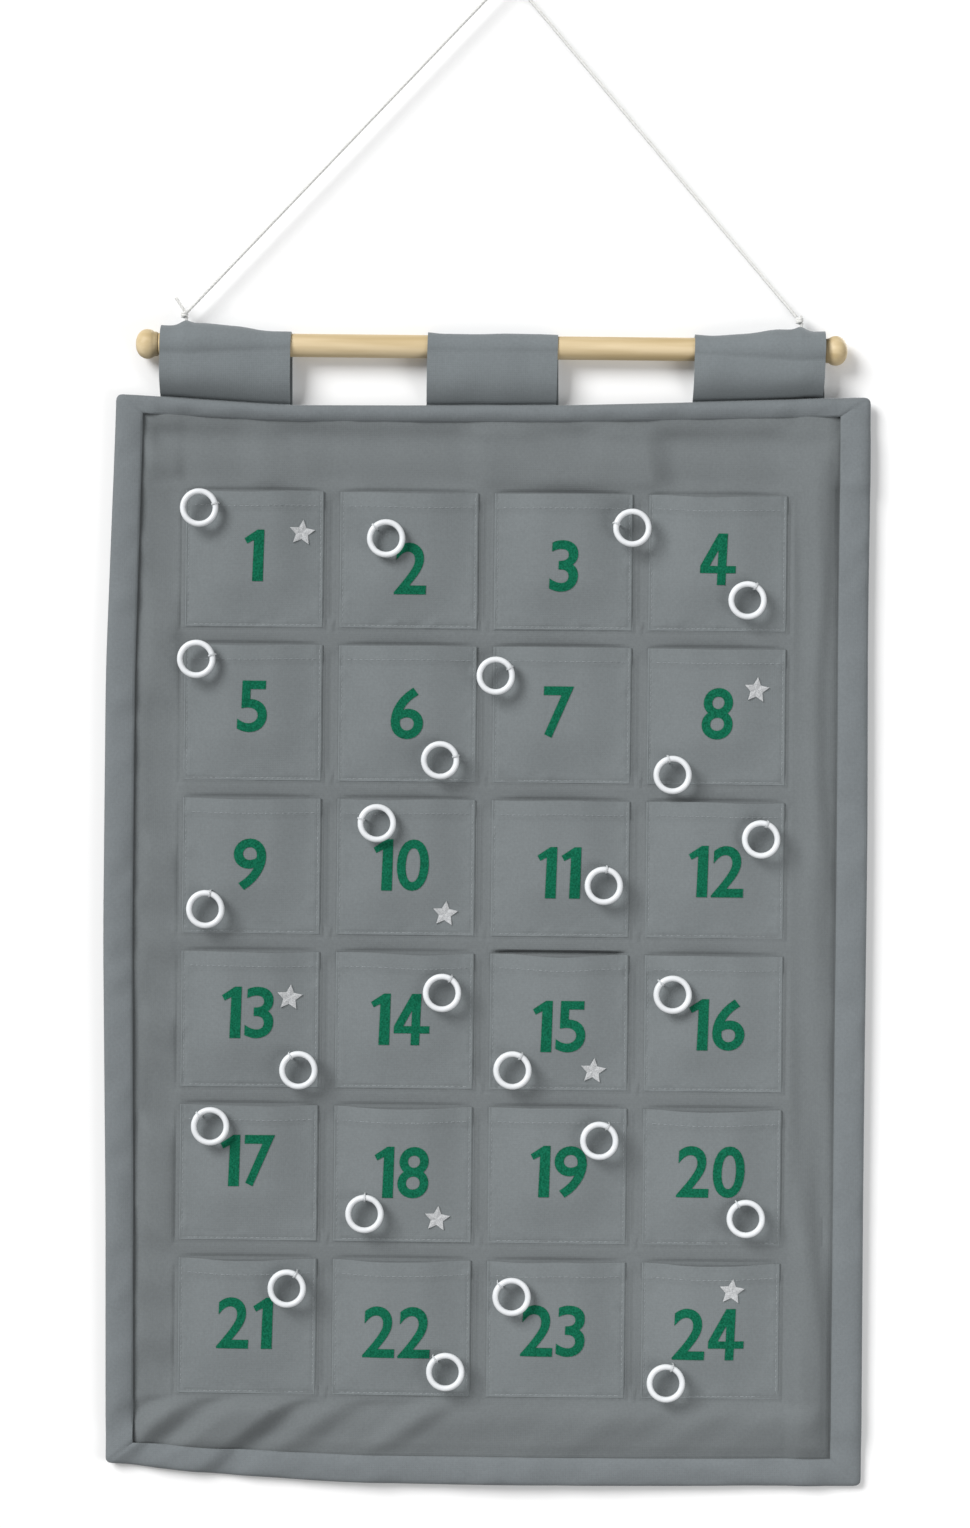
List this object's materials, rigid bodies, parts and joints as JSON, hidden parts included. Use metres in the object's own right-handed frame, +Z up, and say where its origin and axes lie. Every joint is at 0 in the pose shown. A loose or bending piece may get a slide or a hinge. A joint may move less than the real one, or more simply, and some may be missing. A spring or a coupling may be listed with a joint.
{
  "type": "advent calendar",
  "caption": "Cloth advent calendar: a bound panel with sewn patch pockets, each with a hanging ring and a number, tabs over a wooden rod and a cord to hang it by.",
  "frame": {"origin": "where the hook bears on the cord", "axes": "+Z up, the front with its pockets faces -Y, +X to the viewer's right"},
  "size_m": [0.4532, 0.0267, 0.9012],
  "materials": {
    "canvas": "matt woven grey",
    "binding": "matt woven grey",
    "pine": "bare sanded pine",
    "ring_plastic": "smooth white",
    "cotton_cord": "matt twisted off-white"
  },
  "bodies": {
    "hanger": {"hanging_cord": "cotton_cord", "cord_knot_left": "cotton_cord", "cord_knot_right": "cotton_cord", "rod": "pine", "end_knob_left": "pine", "end_knob_right": "pine"},
    "cloth": {"panel": "canvas", "edge_binding": "binding", "tab_left": "canvas", "tab_middle": "canvas", "tab_right": "canvas", "pocket_01": "canvas", "pocket_02": "canvas", "pocket_03": "canvas", "pocket_04": "canvas", "pocket_05": "canvas", "pocket_06": "canvas", "pocket_07": "canvas", "pocket_08": "canvas", "pocket_09": "canvas", "pocket_10": "canvas", "pocket_11": "canvas", "pocket_12": "canvas", "pocket_13": "canvas", "pocket_14": "canvas", "pocket_15": "canvas", "pocket_16": "canvas", "pocket_17": "canvas", "pocket_18": "canvas", "pocket_19": "canvas", "pocket_20": "canvas", "pocket_21": "canvas", "pocket_22": "canvas", "pocket_23": "canvas", "pocket_24": "canvas"},
    "ring_01": {"ring_01": "ring_plastic"},
    "ring_02": {"ring_02": "ring_plastic"},
    "ring_03": {"ring_03": "ring_plastic"},
    "ring_04": {"ring_04": "ring_plastic"},
    "ring_05": {"ring_05": "ring_plastic"},
    "ring_06": {"ring_06": "ring_plastic"},
    "ring_07": {"ring_07": "ring_plastic"},
    "ring_08": {"ring_08": "ring_plastic"},
    "ring_09": {"ring_09": "ring_plastic"},
    "ring_10": {"ring_10": "ring_plastic"},
    "ring_11": {"ring_11": "ring_plastic"},
    "ring_12": {"ring_12": "ring_plastic"},
    "ring_13": {"ring_13": "ring_plastic"},
    "ring_14": {"ring_14": "ring_plastic"},
    "ring_15": {"ring_15": "ring_plastic"},
    "ring_16": {"ring_16": "ring_plastic"},
    "ring_17": {"ring_17": "ring_plastic"},
    "ring_18": {"ring_18": "ring_plastic"},
    "ring_19": {"ring_19": "ring_plastic"},
    "ring_20": {"ring_20": "ring_plastic"},
    "ring_21": {"ring_21": "ring_plastic"},
    "ring_22": {"ring_22": "ring_plastic"},
    "ring_23": {"ring_23": "ring_plastic"},
    "ring_24": {"ring_24": "ring_plastic"}
  },
  "joints": [
    {"name": "panel_swing", "type": "hinge", "parent": "hanger", "child": "cloth", "pos_m": [-0.008, 0, -0.2193], "axis": [-1, 0, 0], "range_deg": [-30, 30]},
    {"name": "ring_01_swing", "type": "hinge", "parent": "cloth", "child": "ring_01", "pos_m": [-0.17236, -0.00995, -0.3153], "axis": [-0.2588, 0, 0.9659], "range_deg": [0, 150]},
    {"name": "ring_02_swing", "type": "hinge", "parent": "cloth", "child": "ring_02", "pos_m": [-0.07684, -0.00864, -0.32815], "axis": [-0.7071, 0, -0.7071], "range_deg": [0, 150]},
    {"name": "ring_03_swing", "type": "hinge", "parent": "cloth", "child": "ring_03", "pos_m": [0.06773, -0.00849, -0.32473], "axis": [-0.2588, 0, -0.9659], "range_deg": [0, 150]},
    {"name": "ring_04_swing", "type": "hinge", "parent": "cloth", "child": "ring_04", "pos_m": [0.15135, -0.0082, -0.36145], "axis": [-0.866, 0, 0.5], "range_deg": [0, 150]},
    {"name": "ring_05_swing", "type": "hinge", "parent": "cloth", "child": "ring_05", "pos_m": [-0.17321, -0.0101, -0.40576], "axis": [-0.2588, 0, 0.9659], "range_deg": [0, 150]},
    {"name": "ring_06_swing", "type": "hinge", "parent": "cloth", "child": "ring_06", "pos_m": [-0.02696, -0.00734, -0.4648], "axis": [-0.2588, 0, 0.9659], "range_deg": [0, 150]},
    {"name": "ring_07_swing", "type": "hinge", "parent": "cloth", "child": "ring_07", "pos_m": [0.00484, -0.00827, -0.41161], "axis": [-0.5, 0, 0.866], "range_deg": [0, 150]},
    {"name": "ring_08_swing", "type": "hinge", "parent": "cloth", "child": "ring_08", "pos_m": [0.10018, -0.00807, -0.46528], "axis": [-0.9659, 0, -0.2588], "range_deg": [0, 150]},
    {"name": "ring_09_swing", "type": "hinge", "parent": "cloth", "child": "ring_09", "pos_m": [-0.1733, -0.00796, -0.54836], "axis": [-0.9659, 0, 0.2588], "range_deg": [0, 150]},
    {"name": "ring_10_swing", "type": "hinge", "parent": "cloth", "child": "ring_10", "pos_m": [-0.08319, -0.00899, -0.50278], "axis": [-0.2588, 0, -0.9659], "range_deg": [0, 150]},
    {"name": "ring_11_swing", "type": "hinge", "parent": "cloth", "child": "ring_11", "pos_m": [0.0638, -0.00838, -0.53175], "axis": [-0.9877, 0, 0.1564], "range_deg": [0, 150]},
    {"name": "ring_12_swing", "type": "hinge", "parent": "cloth", "child": "ring_12", "pos_m": [0.15932, -0.01015, -0.50358], "axis": [-0.9336, 0, 0.3584], "range_deg": [0, 150]},
    {"name": "ring_13_swing", "type": "hinge", "parent": "cloth", "child": "ring_13", "pos_m": [-0.12417, -0.00669, -0.64513], "axis": [-0.866, 0, -0.5], "range_deg": [0, 150]},
    {"name": "ring_14_swing", "type": "hinge", "parent": "cloth", "child": "ring_14", "pos_m": [-0.02895, -0.00792, -0.59798], "axis": [-0.866, 0, 0.5], "range_deg": [0, 150]},
    {"name": "ring_15_swing", "type": "hinge", "parent": "cloth", "child": "ring_15", "pos_m": [0.0136, -0.00801, -0.6439], "axis": [-0.866, 0, 0.5], "range_deg": [0, 150]},
    {"name": "ring_16_swing", "type": "hinge", "parent": "cloth", "child": "ring_16", "pos_m": [0.09708, -0.00976, -0.59912], "axis": [-0.7071, 0, -0.7071], "range_deg": [0, 150]},
    {"name": "ring_17_swing", "type": "hinge", "parent": "cloth", "child": "ring_17", "pos_m": [-0.17847, -0.00871, -0.68056], "axis": [-0.7071, 0, -0.7071], "range_deg": [0, 150]},
    {"name": "ring_18_swing", "type": "hinge", "parent": "cloth", "child": "ring_18", "pos_m": [-0.07887, -0.00706, -0.72936], "axis": [-1, 0, 0], "range_deg": [0, 150]},
    {"name": "ring_19_swing", "type": "hinge", "parent": "cloth", "child": "ring_19", "pos_m": [0.06588, -0.0108, -0.68516], "axis": [-0.866, 0, 0.5], "range_deg": [0, 150]},
    {"name": "ring_20_swing", "type": "hinge", "parent": "cloth", "child": "ring_20", "pos_m": [0.14415, -0.00944, -0.73108], "axis": [-0.866, 0, -0.5], "range_deg": [0, 150]},
    {"name": "ring_21_swing", "type": "hinge", "parent": "cloth", "child": "ring_21", "pos_m": [-0.11995, -0.00814, -0.77562], "axis": [-0.866, 0, 0.5], "range_deg": [0, 150]},
    {"name": "ring_22_swing", "type": "hinge", "parent": "cloth", "child": "ring_22", "pos_m": [-0.03571, -0.00885, -0.82527], "axis": [-0.7771, 0, -0.6293], "range_deg": [0, 150]},
    {"name": "ring_23_swing", "type": "hinge", "parent": "cloth", "child": "ring_23", "pos_m": [0.00268, -0.01077, -0.78045], "axis": [-0.7071, 0, -0.7071], "range_deg": [0, 150]},
    {"name": "ring_24_swing", "type": "hinge", "parent": "cloth", "child": "ring_24", "pos_m": [0.10577, -0.00968, -0.82908], "axis": [-0.9336, 0, 0.3584], "range_deg": [0, 150]}
  ]
}
